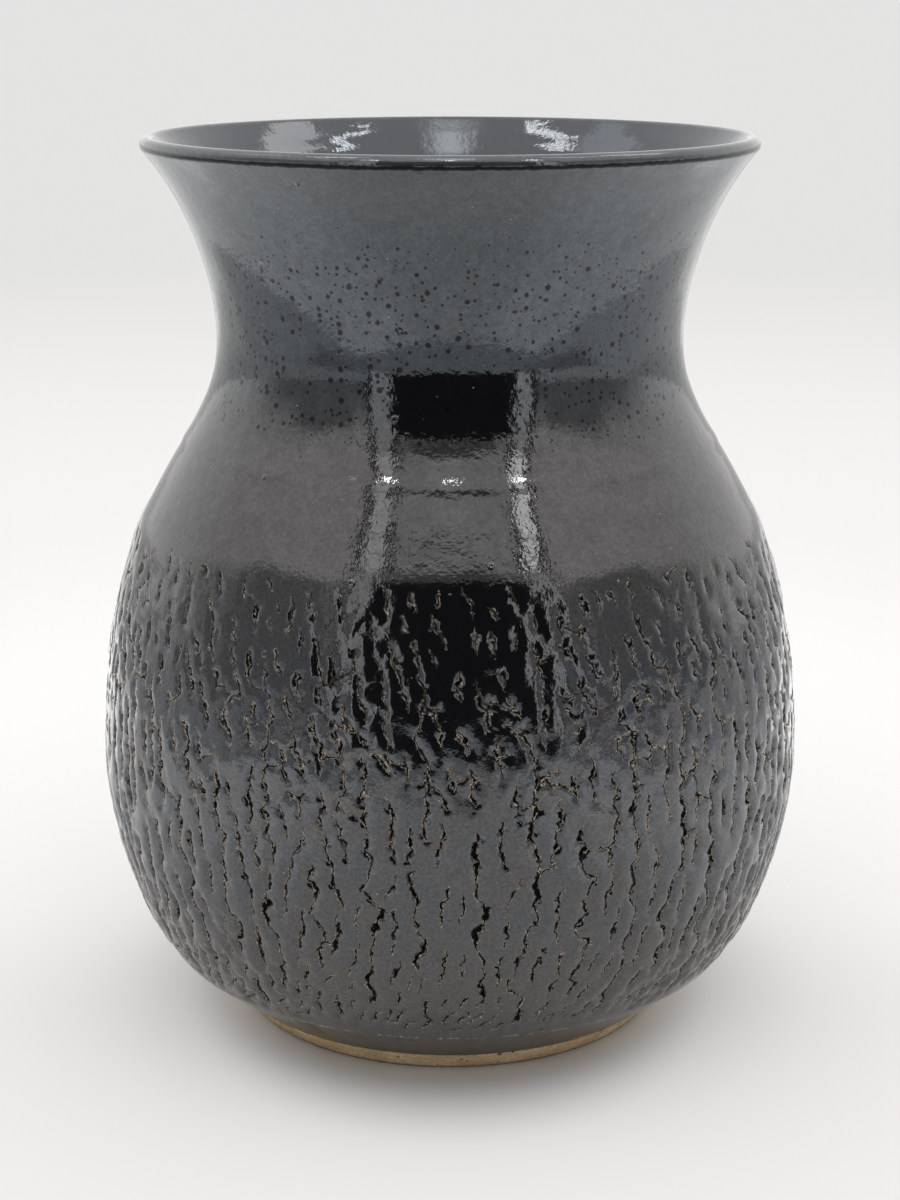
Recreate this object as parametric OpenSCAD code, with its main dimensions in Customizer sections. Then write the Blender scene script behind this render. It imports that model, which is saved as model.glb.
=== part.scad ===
// Textured vase: a wheel-thrown stoneware vessel with a torn, crackled belly under a dark glaze.
// Every piece is a body of revolution about Z. The foot stands on z = 0. Sizes are millimetres.
// The outside outline is one chain: bare foot strip, turned flare, belly, shoulder, neck and lip.
// The glazes and the crackled skin are coats sunk into that outline, so each coat lies on the next.
// The main tears go through the belly's glaze and into the skin; finer ones are left to the visual model.

/* [Overall] */
// Height from the table to the top of the lip
height = 190; // [175:1:210]

/* [Foot] */
// Diameter of the foot where it meets the table
foot_d = 91.4; // [84:0.2:96]
// Width of the ring that the vase stands on
foot_ring_w = 8; // [5:0.5:12]
// Depth of the turned hollow under the foot
foot_hollow = 3; // [1.5:0.5:5]
// Bevel on both edges of the foot ring
foot_bevel = 0.6; // [0.2:0.1:1.2]
// Height of the bare clay strip
bare_h = 4.6; // [3:0.2:7]
// Diameter at the top of the bare clay strip
bare_d = 98.8; // [97:0.2:104]
// Height of the trim line, where the turned flare ends
trim_h = 13.8; // [11:0.2:18]
// Diameter at the trim line
trim_d = 122.2; // [114:0.2:128]

/* [Belly] */
// Widest diameter of the belly
belly_d = 152.2; // [140:0.2:170]
// Height of the widest point
belly_h = 57.8; // [48:0.2:70]
// How far the flare's line carries on into the belly
trim_pull = 12; // [6:0.5:18]
// How far the belly stays upright below its widest point
belly_pull_down = 12; // [6:0.5:24]
// How far the belly stays upright above its widest point
belly_pull_up = 60.4; // [45:0.2:70]

/* [Neck] */
// Diameter of the neck at its narrowest
neck_d = 98.8; // [88:0.2:112]
// Height of the narrowest point
neck_h = 148.1; // [138:0.1:158]
// How far the neck stays upright below its narrowest point
neck_pull_down = 23.4; // [12:0.2:32]
// How far the neck stays upright above its narrowest point
neck_pull_up = 13.4; // [6:0.2:20]

/* [Lip] */
// Outside diameter of the lip
lip_d = 128.4; // [118:0.2:140]
// Thickness of the rounded lip
lip_t = 3.4; // [2.4:0.1:5]
// Slope of the wall under the lip, in degrees from level
lip_angle = 50; // [40:1:65]
// How far that slope reaches down from the lip
lip_pull = 13.4; // [6:0.2:18]

/* [Wall] */
// Thickness of the wall, coats included
wall_t = 5.5; // [4:0.1:7]
// Thickness of the floor over the foot's hollow, coat included
floor_t = 8; // [6:0.5:11]
// Diameter of the flat part of the inside floor
floor_d = 64; // [50:1:70]
// Height on the outside where the inside wall starts to turn in to the floor
bowl_h = 40; // [32:1:46]
// How far the inside wall runs on before it turns
bowl_pull_wall = 15; // [8:0.5:18]
// How far the inside floor runs on before it turns up
bowl_pull_floor = 18; // [10:0.5:20]

/* [Coats] */
// Thickness of each glaze coat
glaze_t = 0.5; // [0.3:0.1:0.8]
// Thickness of the crackled clay skin
skin_t = 1.6; // [0.8:0.1:2.2]
// Height of the upper edge of the crackled skin
skin_top_h = 112; // [95:1:125]

/* [Tears] */
// Space between the main tears round the widest part of the belly
tear_pitch = 11; // [9:0.5:14]
// Rows of main tears up the belly
tear_rows = 6; // [5:1:7]
// Margin without main tears under the upper edge of the skin
tear_margin = 9; // [5:0.5:12]
// Clear height between a tear and the next one above it
tear_gap = 4; // [3:0.5:6]
// Width of the widest tears
tear_w = 1.4; // [0.8:0.1:2]
// How deep the tears bite into the skin under the glaze
tear_bite = 0.6; // [0.3:0.1:0.7]

/* [Hidden] */

clay_colour = [0.62, 0.52, 0.38];
skin_colour = [0.36, 0.27, 0.19];
belly_colour = [0.15, 0.15, 0.16];
neck_colour = [0.2, 0.21, 0.22];
liner_colour = [0.24, 0.25, 0.26];

// How the tears vary: the shortest and the narrowest, and the width left at the skin's upper edge, as shares of
// the full size, the sideways stray as a share of the pitch, and the bend as a share of the tear's own width
shortest_share = 0.65;
narrowest_share = 0.6;
top_share = 0.35;
stray_share = 0.3;
bend_share = 0.6;

// Steps that scatter the tears: parts after the point of the golden mean and of three square roots
length_step = 0.618034;
height_step = 0.414214;
sideways_step = 0.732051;
width_step = 0.236068;

// Straight pieces cut along each curve, and sides of a full turn
curve_steps = 14;
bead_steps = 6;
$fn = 180;

// Points of the outline: radius, then height
foot_edge = [foot_d / 2, 0];
bare_top = [bare_d / 2, bare_h];
trim_point = [trim_d / 2, trim_h];
belly_point = [belly_d / 2, belly_h];
neck_point = [neck_d / 2, neck_h];

// The lip is a round bead that the flared wall runs into on both sides
bead_r = lip_t / 2;
bead_centre = [lip_d / 2 - bead_r, height - bead_r];
bead_low_angle = lip_angle - 90;
bead_top_angle = 90;
bead_in_angle = lip_angle + 90;
lip_point = bead_centre + bead_r * heading(bead_low_angle);

// Directions along the outline, and the outward side of the straight flare
flare_dir = unit(trim_point - bare_top);
flare_out = outward(flare_dir);

// The three curves of the outside, each by its ends and its two pulls
low_curve = [
    trim_point, trim_point + trim_pull * flare_dir,
    belly_point - [0, belly_pull_down], belly_point
];
high_curve = [
    belly_point, belly_point + [0, belly_pull_up],
    neck_point - [0, neck_pull_down], neck_point
];
neck_curve = [
    neck_point, neck_point + [0, neck_pull_up],
    lip_point - lip_pull * heading(lip_angle), lip_point
];

// Stations: a point of the outside and the outward direction there
skin_top = time_at(high_curve, skin_top_h);
bowl_start = time_at(low_curve, bowl_h);
flare_run = [[bare_top, flare_out], [trim_point, flare_out]];
low_run = stations(low_curve, 0, 1);
high_run = stations(high_curve, 0, skin_top);
shoulder_run = stations(high_curve, skin_top, 1);
neck_run = stations(neck_curve, 0, 1);
skin_run = concat(low_run, rest(high_run));
collar_run = concat(shoulder_run, rest(neck_run));

// The inside wall, from the lip down: it thins from wall_t at the neck to lip_t at the lip
inside_wall = concat(
    [for (i = [curve_steps:-1:1]) inside_station(neck_curve, i / curve_steps, i / curve_steps)],
    [for (i = [curve_steps:-1:1]) inside_station(high_curve, i / curve_steps, 0)],
    [for (i = [curve_steps:-1:0])
        inside_station(low_curve, bowl_start + (1 - bowl_start) * i / curve_steps, 0)]
);

// The bowl: one curve from the foot of the inside wall to the flat floor
floor_h = foot_hollow + floor_t;
wall_end = inside_wall[len(inside_wall) - 1];
wall_end_dir = [wall_end[1][1], -wall_end[1][0]];
bowl_curve = [
    wall_end[0], wall_end[0] + bowl_pull_wall * wall_end_dir,
    [floor_d / 2 + bowl_pull_floor, floor_h], [floor_d / 2, floor_h]
];
inside_run = concat(inside_wall, rest(stations(bowl_curve, 0, 1, -1)), [[[0, floor_h], [0, -1]]]);

// Unit direction at an angle, unit length of a vector, and the outward side of an upward direction
function heading(angle) = [cos(angle), sin(angle)];
function unit(v) = v / norm(v);
function outward(dir) = [dir[1], -dir[0]];

// Point and direction on a curve with two end points and two pull points
function curve_point(c, t) =
    pow(1 - t, 3) * c[0] + 3 * t * pow(1 - t, 2) * c[1] + 3 * t * t * (1 - t) * c[2] + pow(t, 3) * c[3];
function curve_dir(c, t) =
    unit(pow(1 - t, 2) * (c[1] - c[0]) + 2 * t * (1 - t) * (c[2] - c[1]) + t * t * (c[3] - c[2]));

// Place on a rising curve where it passes a height, by halving
function time_at(c, h, low = 0, high = 1, halvings = 30) =
    let (mid = (low + high) / 2)
    halvings == 0 ? mid
    : curve_point(c, mid)[1] < h ? time_at(c, h, mid, high, halvings - 1)
    : time_at(c, h, low, mid, halvings - 1);

// Stations along part of a curve; side -1 turns the outward direction round for a falling curve
function stations(c, from, to, side = 1) = [
    for (i = [0:curve_steps])
        let (t = from + (to - from) * i / curve_steps)
        [curve_point(c, t), side * outward(curve_dir(c, t))]
];

// Station of the inside wall behind a place on an outside curve; thinning 1 gives the lip's thickness
function inside_station(c, t, thinning) =
    let (out = outward(curve_dir(c, t)))
    [curve_point(c, t) - (wall_t + (lip_t - wall_t) * thinning) * out, out];

// A list without its first item, and a list in the other order
function rest(list) = [for (i = [1:len(list) - 1]) list[i]];
function turned(list) = [for (i = [len(list) - 1:-1:0]) list[i]];

// Points of a run moved against its outward direction
function sunk(run, depth) = [for (s = run) s[0] - depth * s[1]];

// Points round the lip's bead between two angles
function bead(r, from, to) = [
    for (i = [0:bead_steps]) bead_centre + r * heading(from + (to - from) * i / bead_steps)
];

// Point of the bare strip at a height
function strip_at(h) = foot_edge + (bare_top - foot_edge) * h / bare_h;

// A number from 0 to 1 that seems drawn by chance but is the same each time: the part of n * step after the point
function chance(n, step) = n * step - floor(n * step);

// Columns of tears round the belly, an even count, and the height that one row takes up
tear_columns = 2 * round(PI * belly_d / tear_pitch / 2);
row_h = (skin_top_h - tear_margin - trim_h) / tear_rows;
longest_tear = row_h - tear_gap;

// Station of the outside at a height of the belly
function station_at(h) =
    let (c = h < belly_h ? low_curve : high_curve, t = time_at(c, h))
    [curve_point(c, t), outward(curve_dir(c, t))];

// Share of the full width at a height: full up to the widest part, then less and less
function opening_at(h) = h < belly_h ? 1 : 1 - (1 - top_share) * (h - belly_h) / (skin_top_h - belly_h);

// Lean of the tears at a height, in degrees to the right: right near the foot, left on the shoulder
function lean_at(h) = lookup(h, [[trim_h, 14], [belly_h - 15, 6], [belly_h + 12, -4], [skin_top_h - 25, -16]]);

// Outline of one tear: two pointed ends and a bend to each side between them
function tear_outline(len, w, bend) = [
    [0, -len / 2], [bend + w / 2, -len / 6], [w / 2 - bend, len / 6],
    [0, len / 2], [-bend - w / 2, len / 6], [bend - w / 2, -len / 6]
];

// Turned solid of an outline
module turn(outline) {
    rotate_extrude() polygon(outline);
}

// Coat between two depths under a run of the outside
module coat(run, outer_depth, inner_depth) {
    turn(concat(sunk(run, outer_depth), turned(sunk(run, inner_depth))));
}

// Fired clay: foot ring, floor, wall and the core of the lip, cut back where the coats lie
module clay_body() {
    hollow_r = foot_d / 2 - foot_ring_w;
    underside = [
        [0, foot_hollow],
        [hollow_r - foot_hollow, foot_hollow],
        [hollow_r - foot_bevel, foot_bevel],
        [hollow_r, 0],
        [foot_d / 2 - foot_bevel, 0],
        strip_at(foot_bevel),
        bare_top
    ];
    core_r = bead_r - glaze_t;
    color(clay_colour) turn(concat(
        underside,
        sunk(flare_run, glaze_t),
        sunk(skin_run, glaze_t + skin_t),
        sunk(collar_run, glaze_t),
        rest(bead(core_r, bead_low_angle, bead_top_angle)),
        rest(bead(core_r, bead_top_angle, bead_in_angle)),
        rest(sunk(inside_run, -glaze_t))
    ));
}

// Cutters of the main tears: upright prisms that stand square to the wall. Odd columns sit half a row higher.
module tears() {
    for (column = [0:tear_columns - 1], row = [0:tear_rows - 1 - column % 2]) {
        n = tear_rows * column + row;
        len = longest_tear * (shortest_share + (1 - shortest_share) * chance(n, length_step));
        stray_h = (longest_tear - len) * (chance(n, height_step) - 0.5);
        h = trim_h + row_h * (row + 0.5 + 0.5 * (column % 2)) + stray_h;
        stray = stray_share * (chance(n, sideways_step) - 0.5);
        w = tear_w * opening_at(h) * (narrowest_share + (1 - narrowest_share) * chance(n, width_step));
        bend = bend_share * w * (n % 2 == 0 ? 1 : -1);
        place = station_at(h);
        rotate([0, 0, 360 * (column + 0.5 + stray) / tear_columns])
        translate([place[0][0], 0, place[0][1]])
        rotate([0, 90 - atan2(place[1][1], place[1][0]), 0])
        rotate([0, 0, 90 - lean_at(h)])
        translate([0, 0, -glaze_t - tear_bite])
        linear_extrude(2 * (glaze_t + tear_bite))
        polygon(tear_outline(len, w, bend));
    }
}

// Skin of the belly, dried hard and torn as the wall was stretched from inside
module crackle_skin() {
    color(skin_colour) difference() {
        coat(skin_run, glaze_t, glaze_t + skin_t);
        tears();
    }
}

// Glaze over the turned flare and the crackled skin, torn with the skin
module belly_glaze() {
    color(belly_colour) difference() {
        coat(concat(flare_run, rest(skin_run)), 0, glaze_t);
        tears();
    }
}

// Glaze over the shoulder, the neck and the outer half of the lip
module neck_glaze() {
    color(neck_colour) turn(concat(
        sunk(collar_run, 0),
        rest(bead(bead_r, bead_low_angle, bead_top_angle)),
        turned(bead(bead_r - glaze_t, bead_low_angle, bead_top_angle)),
        rest(turned(sunk(collar_run, glaze_t)))
    ));
}

// Glaze poured inside: the inner half of the lip, the inside wall and the floor
module liner_glaze() {
    color(liner_colour) turn(concat(
        bead(bead_r, bead_top_angle, bead_in_angle),
        rest(sunk(inside_run, 0)),
        turned(rest(sunk(inside_run, -glaze_t))),
        turned(bead(bead_r - glaze_t, bead_top_angle, bead_in_angle))
    ));
}

clay_body();
crackle_skin();
belly_glaze();
neck_glaze();
liner_glaze();
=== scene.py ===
# %% [markdown]
# # A textured vase
# This lesson dresses a round stoneware vase: a tan clay foot, a belly whose dried skin was
# stretched from inside until it tore, and a dark glossy glaze outside and in. The solids come
# packed at their real size, and nothing here moves or resizes them. New meshes take their place,
# with the tears, the soft edges and the finishes.

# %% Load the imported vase
import math

import bpy
import numpy as np
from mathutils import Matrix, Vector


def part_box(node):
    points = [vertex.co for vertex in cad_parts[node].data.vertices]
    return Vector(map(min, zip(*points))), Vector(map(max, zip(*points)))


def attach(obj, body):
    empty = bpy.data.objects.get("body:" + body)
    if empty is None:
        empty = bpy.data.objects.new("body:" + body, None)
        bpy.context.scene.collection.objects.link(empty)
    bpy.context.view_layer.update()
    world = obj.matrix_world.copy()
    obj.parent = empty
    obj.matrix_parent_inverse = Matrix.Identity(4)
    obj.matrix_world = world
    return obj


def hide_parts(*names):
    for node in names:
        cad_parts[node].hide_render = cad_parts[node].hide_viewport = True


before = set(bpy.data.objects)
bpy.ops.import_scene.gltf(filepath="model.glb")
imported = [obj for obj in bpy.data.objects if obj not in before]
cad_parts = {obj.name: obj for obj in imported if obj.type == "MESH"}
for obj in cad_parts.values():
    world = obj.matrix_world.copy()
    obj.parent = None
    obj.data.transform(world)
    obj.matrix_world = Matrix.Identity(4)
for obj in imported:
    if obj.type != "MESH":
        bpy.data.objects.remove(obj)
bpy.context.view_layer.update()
scene = bpy.context.scene
scene.view_settings.view_transform = "Standard"
print("solids:", ", ".join(sorted(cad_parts)))

# %% [markdown]
# ## The camera
# The photograph looks down on the vase by 15 degrees from half a metre away, through a lens that
# takes in 29 degrees from top to bottom. The camera is placed by those facts, so the ellipses of
# the lip and the foot open as much as they do in the photograph.

# %% Camera
MM = 0.001
camera_back = 490.4
camera_up = 220.8
camera_down_tilt = 14.983
lens_length = 69.5

bpy.ops.object.select_all(action="DESELECT")
bpy.ops.object.camera_add(
    location=(0, -camera_back * MM, camera_up * MM), rotation=(math.radians(90 - camera_down_tilt), 0, 0))
camera = bpy.context.active_object
camera.data.sensor_width = 36
camera.data.lens = lens_length
camera.data.clip_end = 200
scene.camera = camera
print("camera tilt:", camera_down_tilt, "degrees down")

# %% [markdown]
# ## Materials by nodes
# Every finish here is a small network of nodes. One helper adds a node and fills its sockets,
# either with a value or with a link, which keeps the recipes below short enough to read. The others
# blend colours, make soft steps and bands, and spread noise in lumps of a given size.

# %% Helpers for nodes
def add(tree, kind, inputs=None, **settings):
    """A node with its settings made and its sockets filled or linked."""
    made = tree.nodes.new("ShaderNode" + kind)
    for name, value in settings.items():
        setattr(made, name, value)
    for name, value in (inputs or {}).items():
        if isinstance(value, bpy.types.NodeSocket):
            tree.links.new(value, made.inputs[name])
        else:
            made.inputs[name].default_value = value
    return made


def blend(tree, share, first, second):
    """A colour that goes from the first to the second as share goes from 0 to 1."""
    mixed = add(tree, "Mix", {0: share, 6: first, 7: second}, data_type="RGBA")
    return mixed.outputs[2]


def ramp(tree, value, low, high, start=0.0, end=1.0):
    """A soft step: start where value is below low, end where it is above high."""
    step = add(tree, "MapRange", {"Value": value, "From Min": low, "From Max": high,
                                  "To Min": start, "To Max": end}, interpolation_type="SMOOTHSTEP")
    return step.outputs[0]


def sums(tree, operation, first, second):
    """Two values added, multiplied or compared."""
    return add(tree, "Math", {0: first, 1: second}, operation=operation).outputs[0]


def band(tree, value, rise, full, fade, gone):
    """1 where value is between full and fade, and 0 below rise and above gone."""
    return sums(tree, "MULTIPLY", ramp(tree, value, rise, full), ramp(tree, value, gone, fade))


def speckle(tree, place, size_mm, detail=2.0, roughness=0.5):
    """Soft noise whose lumps are about that size."""
    noise = add(tree, "TexNoise", {"Vector": place, "Scale": 1 / (size_mm * MM),
                                   "Detail": detail, "Roughness": roughness})
    return noise.outputs[0]


def finish_of(name):
    """An empty material with its shader and its object coordinates."""
    material = bpy.data.materials.new(name)
    material.use_nodes = True
    tree = material.node_tree
    shader = tree.nodes["Principled BSDF"]
    place = add(tree, "TexCoord").outputs["Object"]
    return material, tree, shader, place


# %% [markdown]
# ## The studio
# A pale floor runs out to the horizon, so the picture has no edge between floor and wall. A wide lamp
# overhead and an even sky give soft light and a soft dark patch under the belly. The floor's colour is paler
# near the vase and greyer far off. The floor also glows, least at the foot and more from a few centimetres
# out and behind the vase. Both are a painted pool of light that makes the shadow under the belly smaller and
# paler. The glaze is a mirror, so what stands round the vase shows in it, and the tent and its lamps come
# after the floor.

# %% Floor
FLOOR_RADIUS = 60.0
floor_near = (0.70, 0.685, 0.67, 1)
floor_far = (0.52, 0.52, 0.517, 1)
painted_floor_light = 0.27
painted_light_behind = 0.07
glow_wide = 1.35

bpy.ops.mesh.primitive_circle_add(vertices=96, radius=FLOOR_RADIUS, fill_type="NGON")
floor = bpy.context.active_object
floor.name = "floor"

material, tree, shader, place = finish_of("pale_floor")
distance = add(tree, "VectorMath", {0: place}, operation="LENGTH").outputs["Value"]
wider = add(tree, "VectorMath", {0: place, 1: (glow_wide, 1, 1)}, operation="MULTIPLY").outputs[0]
glow_distance = add(tree, "VectorMath", {0: wider}, operation="LENGTH").outputs["Value"]
shader.inputs["Roughness"].default_value = 0.9
shader.inputs["Specular IOR Level"].default_value = 0.0
# painted light: the floor's colour is paler near the vase and greyer far off
floor_colour = blend(tree, ramp(tree, distance, 0.3, 1.5), floor_near, floor_far)
tree.links.new(floor_colour, shader.inputs["Base Color"])
# painted light: the floor glows, least right at the foot, more from a few centimetres out and a little more
# behind the vase, so the shadow under the belly is smaller and paler
shader.inputs["Emission Color"].default_value = (1.0, 0.99, 0.98, 1)
behind = ramp(tree, add(tree, "SeparateXYZ", {0: place}).outputs["Y"], -0.03, 0.05)
painted_halo = sums(tree, "MULTIPLY", ramp(tree, glow_distance, 0.07, 0.11), ramp(tree, glow_distance, 0.5, 0.25))
painted_halo = sums(tree, "MULTIPLY", sums(tree, "MULTIPLY", painted_halo, behind), painted_light_behind)
glow = sums(tree, "ADD", ramp(tree, glow_distance, 0.050, 0.082, 0.02, painted_floor_light), painted_halo)
tree.links.new(glow, shader.inputs["Emission Strength"])
below = add(tree, "NewGeometry").outputs["Backfacing"]
see_through = add(tree, "BsdfTransparent").outputs[0]
either = add(tree, "MixShader", {0: below, 1: shader.outputs[0], 2: see_through})
tree.links.new(either.outputs[0], tree.nodes["Material Output"].inputs["Surface"])
floor.data.materials.append(material)
print("floor radius:", FLOOR_RADIUS, "m")

# %% [markdown]
# ### Sky and lamp
# The camera sees an even pale sky, and the floor and the clay are lit by a plain one. Only mirrors
# see the tent: dim near the ground in front, bright overhead and behind. The wide lamp lights from
# above and shows in no mirror.

# %% Sky and lamp
sky_light = 0.50
sky_low = (0.42, 0.42, 0.425, 1)
sky_high = (1.20, 1.155, 1.145, 1)
sky_behind = (1.18, 1.17, 1.16, 1)
sky_seen = (0.78, 0.78, 0.775, 1)
world = bpy.data.worlds.new("even_sky")
scene.world = world
world.use_nodes = True
tree = world.node_tree
ray = add(tree, "LightPath")
plain = (sky_light, sky_light, sky_light, 1)
way = add(tree, "SeparateXYZ", {0: add(tree, "TexCoord").outputs["Generated"]})
tent = blend(tree, ramp(tree, way.outputs["Z"], 0.06, 0.62), sky_low, sky_high)
tent = blend(tree, ramp(tree, way.outputs["Y"], -0.15, 0.45), tent, sky_behind)
mirrored = blend(tree, ray.outputs["Is Glossy Ray"], plain, tent)
seen = blend(tree, ray.outputs["Is Camera Ray"], mirrored, sky_seen)
tree.links.new(seen, tree.nodes["Background"].inputs["Color"])

bpy.ops.object.light_add(type="SUN", location=(0, 0, 2))
overhead = bpy.context.active_object
overhead.name = "overhead_lamp"
overhead.data.energy = 1.50
overhead.data.angle = math.radians(80)
overhead.rotation_euler[0] = math.radians(12)
overhead.visible_glossy = False
print("sky:", sky_light, "lamp:", overhead.data.energy)

# %% [markdown]
# ### Cards that only reflections see
# The glaze shows the tent that stood round the vase: its dark opening in front, the bright edges
# beside that, small lamps, and pale and dark parts of the floor. Each is a flat glowing card that
# the camera and the light on other things do not notice. A card may fade out towards its edges, as
# the image of something far off does.

# %% Helpers for cards
def card(name, centre, size, glow, facing=(0.0, 0.0, 0.1), soft=0.0):
    """A flat card turned to face a point, with a glow for mirrors alone; its soft share fades out."""
    bpy.ops.object.select_all(action="DESELECT")
    bpy.ops.mesh.primitive_plane_add(size=1, location=centre)
    made = bpy.context.active_object
    made.name = name
    made.scale = (size[0], size[1], 1)
    aim = np.array(facing) - np.array(centre)
    made.rotation_euler[0] = math.atan2(math.hypot(aim[0], aim[1]), aim[2])
    made.rotation_euler[2] = math.atan2(aim[0], -aim[1])
    coat = bpy.data.materials.new(name)
    coat.use_nodes = True
    tree = coat.node_tree
    tree.nodes.remove(tree.nodes["Principled BSDF"])
    light = add(tree, "Emission", {"Color": (*glow, 1)}).outputs[0]
    if np.any(soft):
        place = add(tree, "SeparateXYZ", {0: add(tree, "TexCoord").outputs["Object"]})
        fades = []
        for axis, share in zip("XY", np.broadcast_to(soft, 2)):
            off = add(tree, "Math", {0: place.outputs[axis]}, operation="ABSOLUTE").outputs[0]
            fades.append(ramp(tree, off, 0.5 - float(share), 0.5, 1.0, 0.0))
        shown = sums(tree, "MULTIPLY", *fades)
        clear = add(tree, "BsdfTransparent").outputs[0]
        light = add(tree, "MixShader", {0: shown, 1: clear, 2: light}).outputs[0]
    tree.links.new(light, tree.nodes["Material Output"].inputs["Surface"])
    made.data.materials.append(coat)
    made.visible_camera = False
    made.visible_diffuse = False
    made.visible_shadow = False
    made.visible_transmission = False
    return made


def toward(azimuth, elevation, far):
    """The point at that distance in a direction from the vase; azimuth 0 is towards the camera."""
    level = far * math.cos(math.radians(elevation))
    return (level * math.sin(math.radians(azimuth)), -level * math.cos(math.radians(azimuth)),
            far * math.sin(math.radians(elevation)) + 0.1)


def ground_card(name, x, y, z, size, glow, soft=0.0):
    """A card that lies on the floor."""
    return card(name, (x, y, z), size, glow, (x, y, 1.0), soft)


# %% [markdown]
# ### The front of the tent
# The opening is black, with a dim strip over it and a brighter roof above that. An upright edge on
# each side is pale low down and bright higher up, between two dark seams. Three lamps and two soft
# glows hang over it all.

# %% Opening, edges and lamps
edge_far = 0.95
seam_far = 0.93
lamp_far = 1.15

card("tent_opening", (0.035, -1.0, 0.4425), (1.12, 0.845), (0.010, 0.011, 0.014), (0.035, 0.0, 0.4425))
card("tent_top", toward(0, 40.4, 1.22), (1.2, 0.15), (0.20, 0.197, 0.197), soft=0.3)
card("tent_brow", toward(0, 51.2, 1.3), (1.1, 0.40), (1.08, 1.07, 1.07), soft=(0.14, 0.1))
card("tent_ridge", toward(0, 50, 1.28), (0.34, 0.42), (1.18, 1.17, 1.16), soft=(0.25, 0.12))
for side, inner, outer, low_glow, high_glow in ((-1, 27, 37, 1.15, 1.85), (1, 30.5, 37.5, 1.30, 3.5)):
    middle = side * (inner + outer) / 2
    width = 2 * edge_far * math.tan(math.radians(outer - inner) / 2)
    x, y, z = toward(middle, 0, edge_far)
    card(f"tent_edge_{side}", (x, y, 0.48), (width, 0.88), (low_glow,) * 3, (0, 0, 0.48))
    card(f"tent_lamp_edge_{side}", (x, y, 1.15), (width, 0.46), (high_glow,) * 3, (0, 0, 1.15))
    for azimuth in (inner - 1, outer + 1.5):
        x, y, z = toward(side * azimuth, 0, seam_far)
        card(f"tent_seam_{side}_{azimuth}", (x, y, 0.62), (0.042, 1.24), (0.04,) * 3, (0, 0, 0.62))
for azimuth, elevation in ((-34, 52.3), (0, 54.7), (38, 52.3)):
    card(f"lamp_{azimuth}", toward(azimuth, elevation, lamp_far), (0.06, 0.06), (20.0, 20.0, 19.5))
for azimuth in (-56, 56):
    card(f"lamp_glow_{azimuth}", toward(azimuth, 51, lamp_far), (0.24, 0.07), (2.6, 2.55, 2.5), soft=0.45)
print("opening, edges and lamps are up")

# %% [markdown]
# ### The floor as the glaze sees it
# The lower half of the belly and the flare under the lip mirror the floor. It is pale beside and
# behind the vase and darker in front and far out to the sides. The pale parts end in a crisp line
# on the neck, so they have a crisp outer edge and a soft inner one. The floor right under the vase
# is left free.

# %% Floor cards
pale_parts = (("light_ground", 0.205, 0.29, 0.5), ("light_ground_edge", 0.2775, 0.145, 0.02))

for side, glow in ((-1, 0.76), (1, 0.88)):
    ground_card(f"dark_ground_{side}", side * 5.35, -2.85, 0.004, (10.0, 6.3), (glow, glow, 1.02 * glow))
    for name, x, width, soft in pale_parts:
        ground_card(f"{name}_{side}", side * x, 0.05, 0.005, (width, 1.3), (1.22, 1.21, 1.20), (soft, 0.12))
    ground_card(f"flank_ground_{side}", side * 0.655, -0.46, 0.007, (0.55, 0.55), (0.45, 0.45, 0.46), 0.25)
    card(f"flank_{side}", toward(side * 60, 16, 1.0), (0.72, 0.62), (0.42, 0.42, 0.43), soft=0.25)
ground_card("back_ground", 0, 0.64, 0.0055, (0.9, 0.56), (1.18, 1.17, 1.16), 0.08)
ground_card("back_ground_near", 0, 0.235, 0.0057, (0.56, 0.29), (1.95, 1.94, 1.93), (0.15, 0.3))
ground_card("dark_ground_front", 0, -2.42, 0.006, (1.6, 4.0), (0.60, 0.61, 0.62))
print("floor cards are down")

# %% [markdown]
# ### Lamps that show in the mouth
# The far side of the mouth looks up and to both sides. It shows a broad lamp overhead, a panel on
# each side, and narrow strips beside them, which the faint rings of the clay bend into zigzags.

# %% Lamps for the mouth
card("soft_lamp", toward(110, 55, 1.2), (0.37, 0.38), (3.0, 2.9, 2.8), soft=0.12)
card("side_strip", toward(81, 66, 1.2), (0.055, 0.30), (7.8, 7.8, 7.8), soft=0.12)
for azimuth in (-79, -87):
    card(f"strip_lamp_{azimuth}", toward(azimuth, 67, 1.2), (0.05, 0.30), (7.8, 7.6, 7.4), soft=0.1)
card("side_panel", toward(-106, 52, 1.25), (0.46, 0.46), (1.75, 1.75, 1.8), soft=0.2)
card("top_lamp", toward(0, 72, 1.2), (0.36, 0.85), (3.5, 3.45, 3.4), soft=0.45)

# %% [markdown]
# ## The outline
# A thrown pot is one outline turned on a wheel. The heights and radii that the solids fix are read
# from them, and the rest are the same few sizes that shape the solids: points where the line is
# straight up, and how far it runs on there before it bends. A faint swell stands where the smooth
# shoulder meets the torn skin. All sizes are in millimetres until a mesh is made.

# %% Sizes of the outline
foot_r = 45.7
bare_r = 49.4
trim_r = 61.1
trim_h = 13.8
neck_r = 49.4
neck_h = 148.1
lip_r = 64.2
lip_t = 3.4
lip_angle = math.radians(50)
lip_turn = math.degrees(lip_angle)
belly_h = 57.8
trim_pull = 12.0
belly_pull_down = 12.0
belly_pull_up = 60.4
neck_pull_down = 23.4
neck_pull_up = 13.4
lip_pull = 13.4
wall_t = 5.5
glaze_t = 0.5
skin_t = 1.6
swell_h = 108.8
swell_w = 4.6
swell_up = 0.32

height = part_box("neck_glaze")[1].z / MM
belly_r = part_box("belly_glaze")[1].x / MM
bare_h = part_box("belly_glaze")[0].z / MM
seam_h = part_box("belly_glaze")[1].z / MM
floor_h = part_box("liner_glaze")[0].z / MM + glaze_t
print("height %.1f, belly %.1f, lip %.1f across" % (height, 2 * belly_r, 2 * lip_r))

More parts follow.
